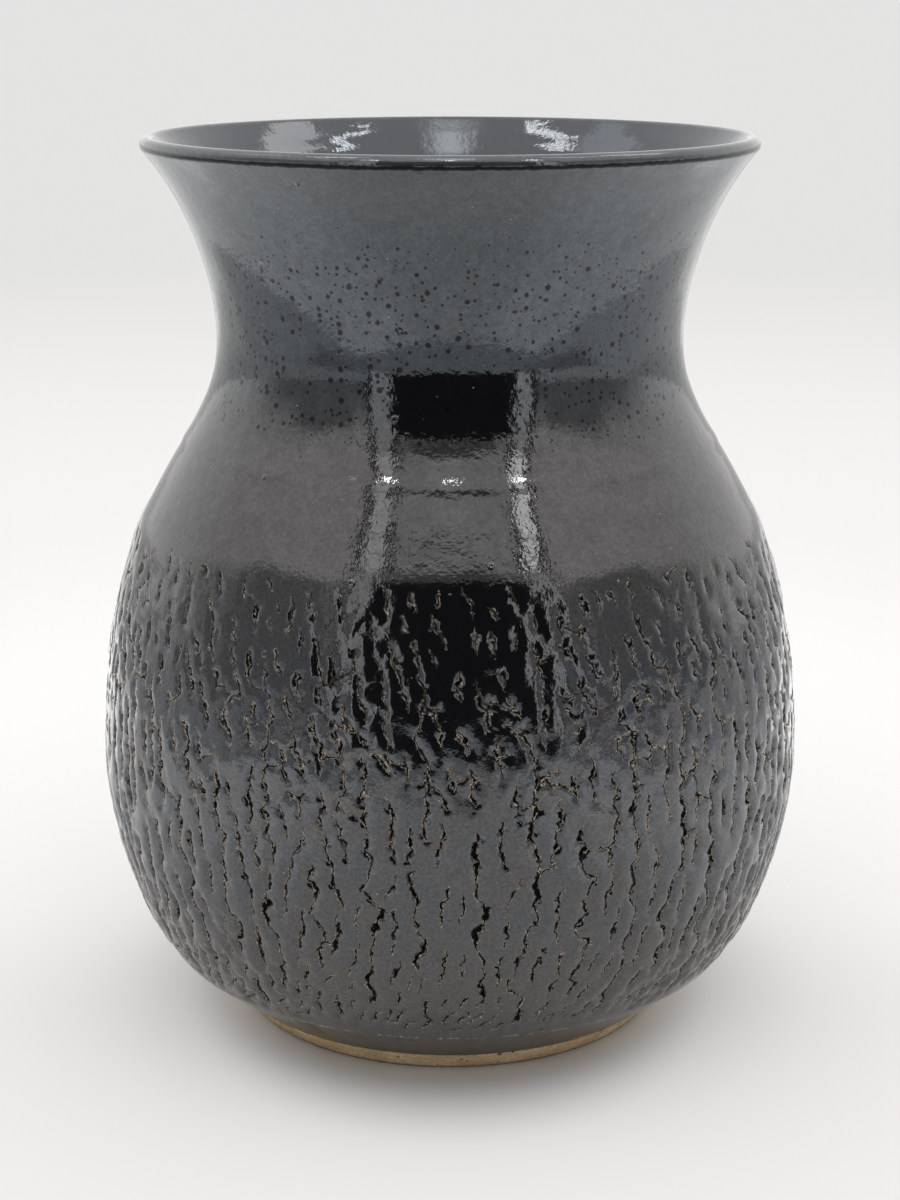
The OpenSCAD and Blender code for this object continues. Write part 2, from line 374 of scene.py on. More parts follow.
# %% [markdown]
# ### Lines
# A line is a list of points, each a radius and a height. A few helpers draw curves and arcs, space
# the points evenly, and move a line into the wall, which is how a coat gets its back.

# %% Helpers for lines
def point(r, z):
    """A point of the outline: radius, then height."""
    return np.array([r, z], float)


def bow(start, start_pull, end_pull, end, count=400):
    """A curve from start to end that leaves and arrives along its two pulls."""
    t = np.linspace(0, 1, count)[:, None]
    return ((1 - t) ** 3 * start + 3 * t * (1 - t) ** 2 * start_pull
            + 3 * t * t * (1 - t) * end_pull + t ** 3 * end)


def arc(centre, radius, start, end, count):
    """Points round a centre between two angles in degrees."""
    angles = np.radians(np.linspace(start, end, count))
    return centre + radius * np.column_stack([np.cos(angles), np.sin(angles)])


def run_of(line):
    """How far along the line each of its points is."""
    return np.append(0, np.cumsum(np.hypot(*np.diff(line, axis=0).T)))


def evenly(line, spacing):
    """The same line with its points a set distance apart."""
    run = run_of(line)
    places = np.linspace(0, run[-1], max(2, round(run[-1] / spacing) + 1))
    return np.column_stack([np.interp(places, run, line[:, k]) for k in (0, 1)])


def outward(line):
    """The direction out of the wall at each point of a line that climbs it."""
    along = np.gradient(line, axis=0)
    along /= np.hypot(*along.T)[:, None]
    return np.column_stack([along[:, 1], -along[:, 0]])


def sunk(line, depth):
    """The line moved into the wall."""
    return line - np.reshape(depth, (-1, 1)) * outward(line)


# %% [markdown]
# ### From the foot to the lip
# The outside is a straight flare and three curves that follow on smoothly: up to the widest part, in
# to the neck and out to the lip. The seam parts it into the belly, which is torn, and the collar,
# which is smooth.

# %% Lines of the outline
foot_edge = point(foot_r, 0)
bare_top = point(bare_r, bare_h)
trim = point(trim_r, trim_h)
belly = point(belly_r, belly_h)
neck = point(neck_r, neck_h)
bead_r = lip_t / 2
bead = point(lip_r - bead_r, height - bead_r)
lip = arc(bead, bead_r, lip_turn - 90, lip_turn - 90, 1)[0]
flare = (trim - bare_top) / np.hypot(*(trim - bare_top))
rise = point(math.cos(lip_angle), math.sin(lip_angle))

flare_line = np.array([bare_top, trim])
low_line = bow(trim, trim + trim_pull * flare, belly - point(0, belly_pull_down), belly)
high_line = bow(belly, belly + point(0, belly_pull_up), neck - point(0, neck_pull_down), neck)
neck_line = bow(neck, neck + point(0, neck_pull_up), lip - lip_pull * rise, lip)
wall_line = evenly(np.vstack([flare_line, low_line[1:], high_line[1:], neck_line[1:]]), 0.1)
wall_line = sunk(wall_line, -swell_up * np.exp(-((wall_line[:, 1] - swell_h) / swell_w) ** 2))
seam_row = int(np.argmin(np.abs(wall_line[:, 1] - seam_h)))
belly_line = wall_line[:seam_row + 1]
collar_line = wall_line[seam_row:]
print("outline: belly %.1f mm long, neck %.1f mm long" % (run_of(belly_line)[-1], run_of(collar_line)[-1]))

# %% [markdown]
# ## Turning an outline
# On the wheel the clay turns and the outline stays. Here a point is drawn out into the outline, one
# short step after another, and a Screw modifier turns it once round the axis. That can leave a
# shape inside out, so doubles are merged and the faces are then told which way is out.

# %% Helper that turns an outline
def apply_modifier(piece, kind, **settings):
    """Adds a modifier to the piece and applies it at once."""
    bpy.ops.object.select_all(action="DESELECT")
    piece.select_set(True)
    bpy.context.view_layer.objects.active = piece
    modifier = piece.modifiers.new(kind.lower(), kind)
    for name, value in settings.items():
        setattr(modifier, name, value)
    bpy.ops.object.modifier_apply(modifier=modifier.name)


def turned(name, line, columns):
    """A mesh of the outline turned round the vase's axis in that many columns."""
    bpy.ops.object.select_all(action="DESELECT")
    bpy.ops.mesh.primitive_plane_add(size=MM)
    made = bpy.context.active_object
    made.name = name
    made.data.name = name
    bpy.ops.object.mode_set(mode="EDIT")
    bpy.ops.mesh.select_mode(type="VERT")
    bpy.ops.mesh.merge(type="CENTER")
    bpy.ops.transform.translate(value=(line[0][0] * MM, 0, line[0][1] * MM))
    for dr, dz in np.diff(line, axis=0) * MM:
        bpy.ops.mesh.extrude_vertices_move(TRANSFORM_OT_translate={"value": (dr, 0, dz)})
    bpy.ops.object.mode_set(mode="OBJECT")
    apply_modifier(made, "SCREW", axis="Z", angle=2 * math.pi, steps=columns, render_steps=columns,
                   use_merge_vertices=True, merge_threshold=0.002 * MM)
    bpy.ops.object.mode_set(mode="EDIT")
    bpy.ops.mesh.select_all(action="SELECT")
    bpy.ops.mesh.remove_doubles(threshold=0.002 * MM)
    bpy.ops.mesh.normals_make_consistent(inside=False)
    bpy.ops.object.mode_set(mode="OBJECT")
    return made


# %% [markdown]
# ### Shading and points
# Two more needs come up for every mesh: to shade it smooth without losing its crisp edges, and to
# read or move all its points at once, in millimetres.

# %% Helpers for shading and points
def smooth(piece, angle):
    """Shades a piece smooth, and keeps its edges crisp where they turn more than that angle."""
    bpy.ops.object.select_all(action="DESELECT")
    piece.select_set(True)
    bpy.context.view_layer.objects.active = piece
    bpy.ops.object.shade_smooth_by_angle(angle=math.radians(angle))


def points_of(piece):
    """The piece's points in millimetres."""
    flat = np.empty(len(piece.data.vertices) * 3, np.float32)
    piece.data.vertices.foreach_get("co", flat)
    return flat.reshape(-1, 3).astype(float) / MM


def set_points(piece, places):
    """Moves the piece's points to places given in millimetres."""
    piece.data.vertices.foreach_set("co", (places * MM).astype(np.float32).ravel())
    piece.data.update()


# %% [markdown]
# ## The tears of the belly
# The potter dries the outside of a thick cylinder, then pushes the belly out from inside. The dry
# skin cannot stretch, so it tears into upright plates, and the soft clay between them swells open.
# Sculpting a thousand tears by hand would take days, and bump alone would leave the silhouette
# smooth. So the belly is laid out flat as a grid, the tears are grown on it one by one with room
# kept between them, and the result becomes real depth.

# %% The belly laid flat
CELL = 0.2
belly_run = run_of(belly_line)
columns_flat = round(2 * math.pi * belly_r / CELL)
rows_flat = round(belly_run[-1] / CELL) + 1
turn_per_column = 2 * math.pi / columns_flat
row_runs = np.linspace(0, belly_run[-1], rows_flat)
row_r = np.interp(row_runs, belly_run, belly_line[:, 0])
row_z = np.interp(row_runs, belly_run, belly_line[:, 1])


def run_at(z):
    """How far up the belly's line a height is."""
    return np.interp(z, belly_line[:, 1], belly_run)


def grain(size, seed, tall=1.0):
    """Soft random waves of that size in mm that join up all round; tall stretches them upwards."""
    noise = np.random.default_rng(seed).standard_normal((rows_flat, columns_flat))
    across = np.fft.rfftfreq(columns_flat, CELL)
    upward = np.fft.fftfreq(rows_flat, CELL) * tall
    pitch = np.hypot(across[None, :], upward[:, None]) * size
    waves = np.fft.irfft2(np.fft.rfft2(noise) * np.exp(-4 * (pitch - 1) ** 2), (rows_flat, columns_flat))
    return waves / waves.std()


print("flat belly: %d by %d cells of %.1f mm" % (columns_flat, rows_flat, CELL))

# %% [markdown]
# ### The main tears
# The solids carry the widest tears, set out in rows and columns that stray a little. The same sizes
# and the same scattering steps give their places here, so that both models tear alike. Most are
# less open than the solid's, a few almost as wide.

# %% Sizes of the main tears
tear_pitch = 11.0
tear_rows = 6
tear_margin = 9.0
tear_gap = 4.0
tear_w = 1.4
shortest_share = 0.65
narrowest_share = 0.6
top_share = 0.35
stray_share = 0.3
bend_share = 0.6
length_step = 0.618034
height_step = 0.414214
sideways_step = 0.732051
width_step = 0.236068
leg_breaks = (0.14, 0.13, 0.16)
opened_shares = (0.32, 0.52, 0.80)
opened_odds = (0.45, 0.38, 0.17)
gape_heights = (40, 62, 92, 105)
gape_shares = (0.75, 0.6, 0.45, 0.3)
main_room = 2.2
room_over_ends = 1.3
tear_columns = 2 * round(math.pi * belly_r / tear_pitch)
row_h = (seam_h - tear_margin - trim_h) / tear_rows
longest_tear = row_h - tear_gap
tear_draws = np.random.default_rng(41)
taken = np.zeros((rows_flat, columns_flat), bool)
tears = []
mains = {}
print("main tears: %d columns, up to %.1f mm long" % (tear_columns, longest_tear))

# %% [markdown]
# ### What every tear needs
# Tears lean to the right near the foot and to the left near the shoulder, and they open less the
# higher they are. A tear is a line of a few corners whose legs are broken again and again, because
# torn clay is ragged where a solid of few faces is straight. The room round each one is marked as
# taken, so that no other runs into it.

# %% Helpers for tears
def chance(n, step):
    """A number from 0 to 1 that seems drawn by chance: the part of n steps after the point."""
    return n * step % 1


def lean_at(z):
    """Lean of the tears at a height, in degrees to the right."""
    return np.interp(z, [trim_h, belly_h - 15, belly_h + 12, seam_h - 25], [14, 6, -4, -16])


def opening_at(z):
    """Share of the full width at a height: full up to the widest part, then less and less."""
    return np.interp(z, [belly_h, seam_h], [1, top_share])


def jagged(line, aside):
    """The line with the middle of each leg set aside at random."""
    made = [line[0]]
    for (a0, s0), (a1, s1) in zip(line[:-1], line[1:]):
        r = np.interp((s0 + s1) / 2, row_runs, row_r)
        off = aside * tear_draws.normal()
        made.append(((a0 + a1) / 2 - off * (s1 - s0) / r, (s0 + s1) / 2 + off * (a1 - a0) * r))
        made.append((a1, s1))
    return np.array(made)


def cell_of(angle, run):
    """Row and column of the flat belly at an angle and a way up."""
    row = min(max(int(run / CELL), 0), rows_flat - 1)
    return row, int(angle / turn_per_column) % columns_flat


def keep_clear(line, spacing):
    """Marks the room round a tear as taken."""
    for (a0, s0), (a1, s1) in zip(line[:-1], line[1:]):
        for share in np.linspace(0, 1, 5):
            row, column = cell_of(a0 + share * (a1 - a0), s0 + share * (s1 - s0))
            reach = int(spacing / (row_r[row] * turn_per_column))
            tall = int(room_over_ends / CELL)
            columns = np.arange(column - reach, column + reach + 1) % columns_flat
            taken[max(row - tall, 0):row + tall + 1, columns] = True


print("lean at the foot %.0f degrees, at the shoulder %.0f" % (lean_at(trim_h), lean_at(seam_h)))

# %% [markdown]
# ### Setting out the main tears
# Every second column is set half a row higher, as bricks are. Length, height, stray and width come
# from the same steps as in the solids, and the corners zigzag by a share of the width.

# %% Main tears
for column in range(tear_columns):
    for row in range(tear_rows - column % 2):
        n = tear_rows * column + row
        length = longest_tear * (shortest_share + (1 - shortest_share) * chance(n, length_step))
        z = trim_h + row_h * (row + 0.5 + 0.5 * (column % 2))
        z += (longest_tear - length) * (chance(n, height_step) - 0.5)
        width = tear_w * opening_at(z) * (narrowest_share + (1 - narrowest_share) * chance(n, width_step))
        bend = bend_share * width * (1 if n % 2 == 0 else -1)
        corners = np.array([(0, -length / 2), (bend, -length / 6), (-bend, length / 6), (0, length / 2)])
        lean = math.radians(lean_at(z))
        right = corners @ (math.cos(lean), math.sin(lean))
        up = corners @ (-math.sin(lean), math.cos(lean))
        stray = stray_share * (chance(n, sideways_step) - 0.5)
        middle = 2 * math.pi * (column + 0.5 + stray) / tear_columns
        run = run_at(z)
        line = np.column_stack([middle + right / np.interp(run, row_runs, row_r), run + up])
        for aside in leg_breaks:
            line = jagged(line, aside)
        keep_clear(line, main_room)
        gape = np.interp(z, gape_heights, gape_shares)
        opened = tear_draws.choice(opened_shares, p=opened_odds)
        tears.append((line, opened * width / 2, gape, 1.0))
        mains[column, row] = line
print("main tears:", len(tears))

# %% [markdown]
# ### Links
# Many a tear runs on into the next one above it. Where two main tears stand one over the other, a
# thin ragged crack may join them, most often round the widest part.

# %% Links from one main tear to the next above it
link_runs = run_at(np.array([18, 30, 62, 75, 92]))
link_shares = np.array([0.3, 0.8, 0.85, 0.5, 0.2])
link_slope = 0.55
link_breaks = (0.16, 0.14)
link_half_widths = (0.10, 0.22)
link_gape = 0.5
link_depth = 0.8
link_room = 1.8

for (column, row), line in mains.items():
    above = mains.get((column, row + 1))
    if above is None or tear_draws.random() > np.interp(line[-1, 1], link_runs, link_shares):
        continue
    if abs(above[0, 0] - line[-1, 0]) * belly_r > link_slope * (above[0, 1] - line[-1, 1]):
        continue
    link = np.array([line[-1], above[0]])
    for aside in link_breaks:
        link = jagged(link, aside)
    keep_clear(link, link_room)
    tears.append((link, tear_draws.uniform(*link_half_widths), link_gape, link_depth))
print("tears and links:", len(tears))

# %% [markdown]
# ### The finer tears
# Between the main tears run many more: long ones round the widest part, shorter and half healed
# ones above, and small slanting ones close together just over the turned foot. A tear climbs in
# long runs and short jogs, and it stops when it comes too near another.

# %% The walk of a finer tear
top_of_tears = 110.5
lean_spread = 8
straight_steps = (0.8, 2.6)
straight_swings = (0, 15)
jog_steps = (0.35, 0.9)
jog_swings = (30, 62)
jog_odds = 0.8
turn_odds = 0.75


def climb(angle, run, length, zone_lean):
    """The line of one tear from its lower end, as points of angle and run, kept clear of other tears."""
    line = [(angle, run)]
    side = tear_draws.choice([-1, 1])
    own_lean = zone_lean + tear_draws.normal(0, lean_spread)
    climbed = 0.0
    jog = False
    while climbed < length:
        step = tear_draws.uniform(*(jog_steps if jog else straight_steps))
        swing = side * tear_draws.uniform(*(jog_swings if jog else straight_swings))
        side = -side if jog and tear_draws.random() < turn_odds else side
        jog = not jog and tear_draws.random() < jog_odds
        tilt = math.radians(own_lean + lean_at(np.interp(run, row_runs, row_z)) + swing)
        run += step * math.cos(tilt)
        angle += step * math.sin(tilt) / np.interp(run, row_runs, row_r)
        if run > run_at(top_of_tears) or taken[cell_of(angle, run)]:
            break
        climbed += step
        line.append((angle, run))
    return np.array(line), climbed


print("finer tears end at", top_of_tears, "mm")

# %% [markdown]
# ### Zones
# Each zone has its own spacing, lengths and widths. Its row gives the lowest and the highest start,
# the spacing, the shortest and the longest tear, the widest half width, the share that gapes, the
# lean in degrees, and how many starts are tried.

# %% Zones of tears
zones = {
    "belly": (28, 62, 3.3, 6, 26, 0.25, 0.50, 0, 9000),
    "shoulder": (62, 92, 3.2, 4, 15, 0.27, 0.45, 0, 9000),
    "top": (90, 107, 3.6, 2.5, 7, 0.22, 0.35, 0, 5000),
    "waist": (23, 32, 2.7, 3, 12, 0.22, 0.45, 8, 4500),
    "foot": (16.2, 24, 2.1, 3.2, 9, 0.15, 0.45, 22, 7000),
}
room_range = (0.62, 1.0)
size_range = (0.45, 1.0)
gape_range = (0.4, 1.5)
fine_break = 0.07
least_depth = 0.45

for zone, (low, high, spacing, shortest, longest, half_width, gape, zone_lean, tries) in zones.items():
    before = len(tears)
    for _ in range(tries):
        angle = tear_draws.uniform(0, 2 * math.pi)
        run = run_at(tear_draws.uniform(low, high))
        length = tear_draws.uniform(shortest, longest)
        own_spacing = spacing * tear_draws.uniform(*room_range)
        if taken[cell_of(angle, run)]:
            continue
        line, climbed = climb(angle, run, length, zone_lean)
        if climbed < shortest:
            continue
        keep_clear(line, own_spacing)
        size = tear_draws.uniform(*size_range)
        line = jagged(line, fine_break)
        own_gape = min(1, gape * tear_draws.uniform(*gape_range))
        tears.append((line, half_width * size, own_gape, least_depth + (1 - least_depth) * size))
    print(zone, "tears:", len(tears) - before)

# %% [markdown]
# ### Branches
# Some tears fork, and above the widest part side cracks link one tear to the next, so the plates
# there are closed all round. A branch leaves a corner of its tear to one side and stays narrow.

# %% Branches
fork_runs = run_at(np.array([32, 60, 72, 90, 100]))
fork_shares = np.array([0.0, 0.15, 0.55, 0.5, 0.2])
branch_legs = (2, 5)
branch_steps = (0.8, 1.7)
branch_tilts = (35, 95)
branch_width = 0.5
branch_gape = 0.5
branch_depth = 0.6

for line, half_width, gape, depth in list(tears):
    angle, run = line[len(line) // 2]
    if len(line) < 4 or tear_draws.random() > np.interp(run, fork_runs, fork_shares):
        continue
    angle, run = line[tear_draws.integers(1, len(line) - 1)]
    side = tear_draws.choice([-1, 1])
    branch = [(angle, run)]
    for _ in range(tear_draws.integers(*branch_legs)):
        step = tear_draws.uniform(*branch_steps)
        tilt = side * math.radians(tear_draws.uniform(*branch_tilts))
        run += step * math.cos(tilt)
        angle += step * math.sin(tilt) / np.interp(run, row_runs, row_r)
        branch.append((angle, run))
    if run < run_at(top_of_tears):
        tears.append((np.array(branch), branch_width * half_width, branch_gape * gape, branch_depth * depth))
print("tears and branches:", len(tears))

# %% [markdown]
# ### Layers of depth
# Each tear is stamped on the flat belly. For every cell near it the stamp works out how far the
# cell lies outside the tear's edge, and how far open the tear is there. Waves of noise push the
# cells about first, so straight runs come out ragged. Two layers of depth come of it: the plate
# sinks softly towards the tear, and it drops at the tear's edge.

# %% Layers of the flat belly
DENT_LOW = 0.72
DENT_HIGH = 0.27
DENT_REACH = 1.3
EDGE_OUT = 0.16
EDGE_IN = -0.20
DEEP = 1.0
HEALED = 0.40
STAMP_REACH = 4.0
HAIRLINE = 0.06
TAPER = 1.4
TAPER_SHARE = 0.25
opening_pitches = (2.2, 6.5)

push_x = 0.12 * grain(1.6, 1) + 0.11 * grain(0.8, 2)
push_y = 0.12 * grain(1.6, 3) + 0.11 * grain(0.8, 4)
ragged = 0.06 * grain(0.7, 5) + 0.035 * grain(2.2, 6)
edge = np.full((rows_flat, columns_flat), 9.0)
across = np.full((rows_flat, columns_flat), 9.0)
half = np.zeros((rows_flat, columns_flat))
dent = np.zeros((rows_flat, columns_flat))
drop = np.zeros((rows_flat, columns_flat))


def soft_step(value):
    """0 below 0, 1 above 1 and a smooth rise between."""
    t = np.clip(value, 0, 1)
    return t * t * (3 - 2 * t)


print("layers of %d cells are ready" % edge.size)

# %% [markdown]
# ### The stamp
# A tear tapers to both ends. In between it opens and closes in waves, down to a hairline where it
# is healed. The stamp goes along the tear leg by leg and keeps, in every cell, what the nearest tear
# says.

# %% Helpers that stamp a tear
def width_along(total, half_width, gape):
    """How far along a tear, how wide and how far open it is there."""
    way = np.linspace(0, total, 40)
    waves = 0
    for _ in range(2):
        pitch = tear_draws.uniform(*opening_pitches)
        waves = waves + np.sin(way * 2 * math.pi / pitch + tear_draws.uniform(0, 6.28))
    opened = soft_step((waves / 2 * 0.5 + 0.5 - (1 - gape)) / 0.25 + 0.5)
    taper = np.clip(np.minimum(way, total - way) / max(TAPER, TAPER_SHARE * total), 0, 1) ** 0.6
    return way, taper * (HAIRLINE + (half_width - HAIRLINE) * opened), opened * taper


def stamp(line, half_width, gape, depth):
    """Adds one tear to the layers of the flat belly."""
    legs = [(np.diff(line[k:k + 2, 0])[0] * np.interp(line[k:k + 2, 1].mean(), row_runs, row_r),
             line[k + 1, 1] - line[k, 1]) for k in range(len(line) - 1)]
    lengths = np.array([math.hypot(*leg) for leg in legs])
    starts = np.append(0, np.cumsum(lengths))
    way, widths, opened = width_along(starts[-1], half_width, gape)
    for k, (dx, dy) in enumerate(legs):
        angle, run = line[k]
        r = np.interp(run + dy / 2, row_runs, row_r)
        low = max(int((min(run, run + dy) - STAMP_REACH) / CELL), 0)
        high = min(int((max(run, run + dy) + STAMP_REACH) / CELL) + 1, rows_flat)
        left = int((angle + (min(0, dx) - STAMP_REACH) / r) / turn_per_column)
        right = int((angle + (max(0, dx) + STAMP_REACH) / r) / turn_per_column) + 1
        spots = np.ix_(np.arange(low, high), np.arange(left, right) % columns_flat)
        x = (np.arange(left, right) * turn_per_column - angle)[None, :] * r + push_x[spots]
        y = (row_runs[low:high] - run)[:, None] + push_y[spots]
        share = np.clip((x * dx + y * dy) / (dx * dx + dy * dy), 0, 1)
        along = starts[k] + share * lengths[k]
        off = np.hypot(x - share * dx, y - share * dy)
        width = np.interp(along, way, widths)
        away = off - width + ragged[spots]
        here = np.interp(along, way, opened)
        nearer = away < edge[spots]
        edge[spots] = np.where(nearer, away, edge[spots])
        across[spots] = np.where(nearer, off * np.where(x * dy > y * dx, 1, -1), across[spots])
        half[spots] = np.where(nearer, width, half[spots])
        dent_here = np.interp(run, run_at(np.array([50, 70])), [DENT_LOW, DENT_HIGH])
        sink = -dent_here * depth * np.exp(-np.clip(away, 0, None) / DENT_REACH)
        dent[spots] = np.minimum(dent[spots], sink)
        fall = -(HEALED + (DEEP - HEALED) * here) * soft_step((EDGE_OUT - away) / (EDGE_OUT - EDGE_IN))
        drop[spots] = np.minimum(drop[spots], fall)


# %% [markdown]
# ### From tears to depth
# All tears are stamped, and the plates get their ripples. The relief fades in over the turned flare,
# where the tool left a low ragged burr, and fades out under the smooth shoulder. It only ever goes
# inwards, so no tear makes the belly wider.

# %% Stamp the tears
torn_low = 15.2
fade_low = 1.5
fade_high = 9
seam_margin = 0.3
plate_sink = 0.08
coat_sink = 0.1
burr_h = 14.6
burr_w = 0.45
burr_up = 0.10

for tear in tears:
    stamp(*tear)

ripples = 0.05 * grain(9, 7, 1.6) + 0.045 * grain(2.6, 8, 2.4)
torn_from = soft_step((row_runs - run_at(torn_low)) / fade_low)[:, None]
torn_to = soft_step((run_at(seam_h) - seam_margin - row_runs) / fade_high)[:, None]
relief = (dent + drop + ripples - plate_sink) * torn_from * torn_to
burr = burr_up * np.exp(-((row_z - burr_h) / burr_w) ** 2)[:, None] * (0.6 + 0.4 * grain(5, 9, 0.3))
relief = np.minimum(relief + burr - coat_sink * torn_to, 0)
print("deepest tear %.2f mm, %d%% of the belly gapes" % (-relief.min(), round(100 * np.mean(edge < 0))))

# %% [markdown]
# ### From the flat belly to the round one
# A point of the round belly has a place on the flat one: its angle, and how far up the outline it
# is. A layer is read there by blending the four cells round that place.

# %% Helpers that read the flat belly
def on_flat(places):
    """Angle and run on the flat belly of points on or just under it."""
    r = np.hypot(places[:, 0], places[:, 1])
    z = places[:, 2]
    run = np.interp(z, belly_line[:, 1], belly_run)
    along = np.gradient(belly_line, axis=0)
    along /= np.hypot(*along.T)[:, None]
    for _ in range(4):
        off_r = r - np.interp(run, belly_run, belly_line[:, 0])
        off_z = z - np.interp(run, belly_run, belly_line[:, 1])
        along_r = np.interp(run, belly_run, along[:, 0])
        along_z = np.interp(run, belly_run, along[:, 1])
        run = run + off_r * along_r + off_z * along_z
    return np.arctan2(places[:, 1], places[:, 0]) % (2 * math.pi), np.clip(run, 0, belly_run[-1])


def read_flat(layer, angle, run):
    """A layer's value at angles and runs, blended between its cells."""
    column = angle / turn_per_column
    row = np.clip(run / belly_run[-1] * (rows_flat - 1), 0, rows_flat - 1.001)
    c0 = column.astype(int)
    r0 = row.astype(int)
    u = column - c0
    v = row - r0
    c1 = (c0 + 1) % columns_flat
    c0 = c0 % columns_flat
    return ((layer[r0, c0] * (1 - u) + layer[r0, c1] * u) * (1 - v)
            + (layer[r0 + 1, c0] * (1 - u) + layer[r0 + 1, c1] * u) * v)


# %% [markdown]
# ### From depth to a mesh
# The belly is turned with columns and rows fine enough for the narrowest tears, and every point is
# pushed in by the depth at its place. That is far more mesh than the smooth plates need, so
# Decimate thins it where it is flat and keeps it where it is ragged.

# %% Turn and tear the belly
FINE_COLUMNS = 1536
FINE_STEP = 0.31
BELLY_FACES = 184000

belly_glaze = turned("torn_belly", evenly(belly_line, FINE_STEP), FINE_COLUMNS)
places = points_of(belly_glaze)
angle, run = on_flat(places)
depth = read_flat(relief, angle, run)
out = outward(belly_line)
out_r = np.interp(run, belly_run, out[:, 0])
out_z = np.interp(run, belly_run, out[:, 1])
places += np.column_stack([depth * out_r * np.cos(angle), depth * out_r * np.sin(angle), depth * out_z])
set_points(belly_glaze, places)
full_faces = 2 * len(belly_glaze.data.polygons)
if full_faces > BELLY_FACES:
    apply_modifier(belly_glaze, "DECIMATE", ratio=BELLY_FACES / full_faces, use_collapse_triangulate=True)
print("belly: %d triangles thinned to %d" % (full_faces, len(belly_glaze.data.polygons)))

# %% [markdown]
# ### A back for the torn coat
# So far the belly is a sheet. A plain back is turned behind it, as deep as the glaze and the torn
# skin together, and both ends are bridged, so the coat is a closed shell that lies on the clay.

# %% Close the belly's shell
BACK_COLUMNS = 120


def bridge_rims(piece, middle_z):
    """Joins the open rims of a double-walled piece, those above a height and those below it."""
    for above in (True, False):
        bpy.ops.object.mode_set(mode="EDIT")
        bpy.ops.mesh.select_mode(type="EDGE")
        bpy.ops.mesh.select_all(action="DESELECT")
        bpy.ops.mesh.select_non_manifold(extend=False, use_boundary=True, use_wire=False,
                                         use_multi_face=False, use_non_contiguous=False, use_verts=False)
        bpy.ops.object.mode_set(mode="OBJECT")
        mesh = piece.data
        for e in mesh.edges:
            high = mesh.vertices[e.vertices[0]].co.z > middle_z * MM
            if e.select and high != above:
                e.select = False
        bpy.ops.object.mode_set(mode="EDIT")
        bpy.ops.mesh.bridge_edge_loops()
        bpy.ops.object.mode_set(mode="OBJECT")
    bpy.ops.object.mode_set(mode="EDIT")
    bpy.ops.mesh.select_all(action="SELECT")
    bpy.ops.mesh.normals_make_consistent(inside=False)
    bpy.ops.object.mode_set(mode="OBJECT")


back_line = evenly(belly_line, 3.0)
back_depth = glaze_t + skin_t * soft_step((run_of(back_line) - run_at(trim_h)) / 4)
back = turned("belly_back", sunk(back_line, back_depth), BACK_COLUMNS)
bpy.ops.object.select_all(action="DESELECT")
back.select_set(True)
belly_glaze.select_set(True)
bpy.context.view_layer.objects.active = belly_glaze
bpy.ops.object.join()
bridge_rims(belly_glaze, belly_h)
print("belly shell:", len(belly_glaze.data.polygons), "faces")

# %% [markdown]
# ### What the glaze needs to know
# Glaze breaks along the tears, so each point of the mesh is told how far it is from the nearest
# tear's edge and from its middle, and how wide that tear is.

# %% Tears as attributes
places = points_of(belly_glaze)
angle, run = on_flat(places)
layers = {"tear_edge": np.clip(edge, -1, 4), "tear_across": np.clip(across, -4, 4), "tear_half": half}
for name, layer in layers.items():
    attribute = belly_glaze.data.attributes.new(name, "FLOAT", "POINT")
    attribute.data.foreach_set("value", read_flat(layer, angle, run).astype(np.float32))
smooth(belly_glaze, 75)
print("belly knows:", ", ".join(layers))

# %% [markdown]
# ## The smooth glaze of the neck
# Above the tears the glaze is smooth over faint rings that the potter's fingers left. It is a thin
# closed shell that runs up the neck and wraps the round lip. The rings are a ripple of the outline
# itself.

# %% Turn the neck
NECK_COLUMNS = 320
ring_depth = 0.02
ring_pitch = 9.0
ridge_h = 127.0
ridge_up = 0.12
ridge_w = 1.3


def rippled(line, depth, pitch):
    """The line with faint finger rings, none at its ends."""
    run = run_of(line)
    fade = soft_step(run / 8) * soft_step((run[-1] - run) / 8)
    wave = np.sin(2 * math.pi * run / pitch + 2 * np.sin(run / 17)) - 1
    return sunk(line, -0.5 * depth * wave * fade)


collar = evenly(collar_line, 0.7)
bead_out = arc(bead, bead_r, lip_turn - 90, lip_turn + 90, 37)
bead_back = arc(bead, bead_r - glaze_t, lip_turn + 90, lip_turn - 90, 13)
collar_back = sunk(evenly(collar_line, 3.0), glaze_t)[::-1]
ridge = ridge_up * np.exp(-((collar[:, 1] - ridge_h) / ridge_w) ** 2)
collar_face = sunk(rippled(collar, ring_depth, ring_pitch), -ridge)
neck_outline = np.vstack([collar_face, bead_out[1:], bead_back, collar_back[1:], collar[:1]])
neck_glaze = turned("smooth_neck", neck_outline, NECK_COLUMNS)
smooth(neck_glaze, 50)
outside = neck_glaze.data.attributes.new("outside", "FLOAT", "POINT")
outside.data.foreach_set("value", np.ones(len(neck_glaze.data.vertices), np.float32))
print("neck shell:", len(neck_glaze.data.polygons), "faces")

# %% [markdown]
# ## The glaze inside
# Glaze was poured in, swirled and poured out again, so the inside has the same coat down to the
# floor. The wall is thinner at the lip than at the neck, and the floor is a wide bowl.

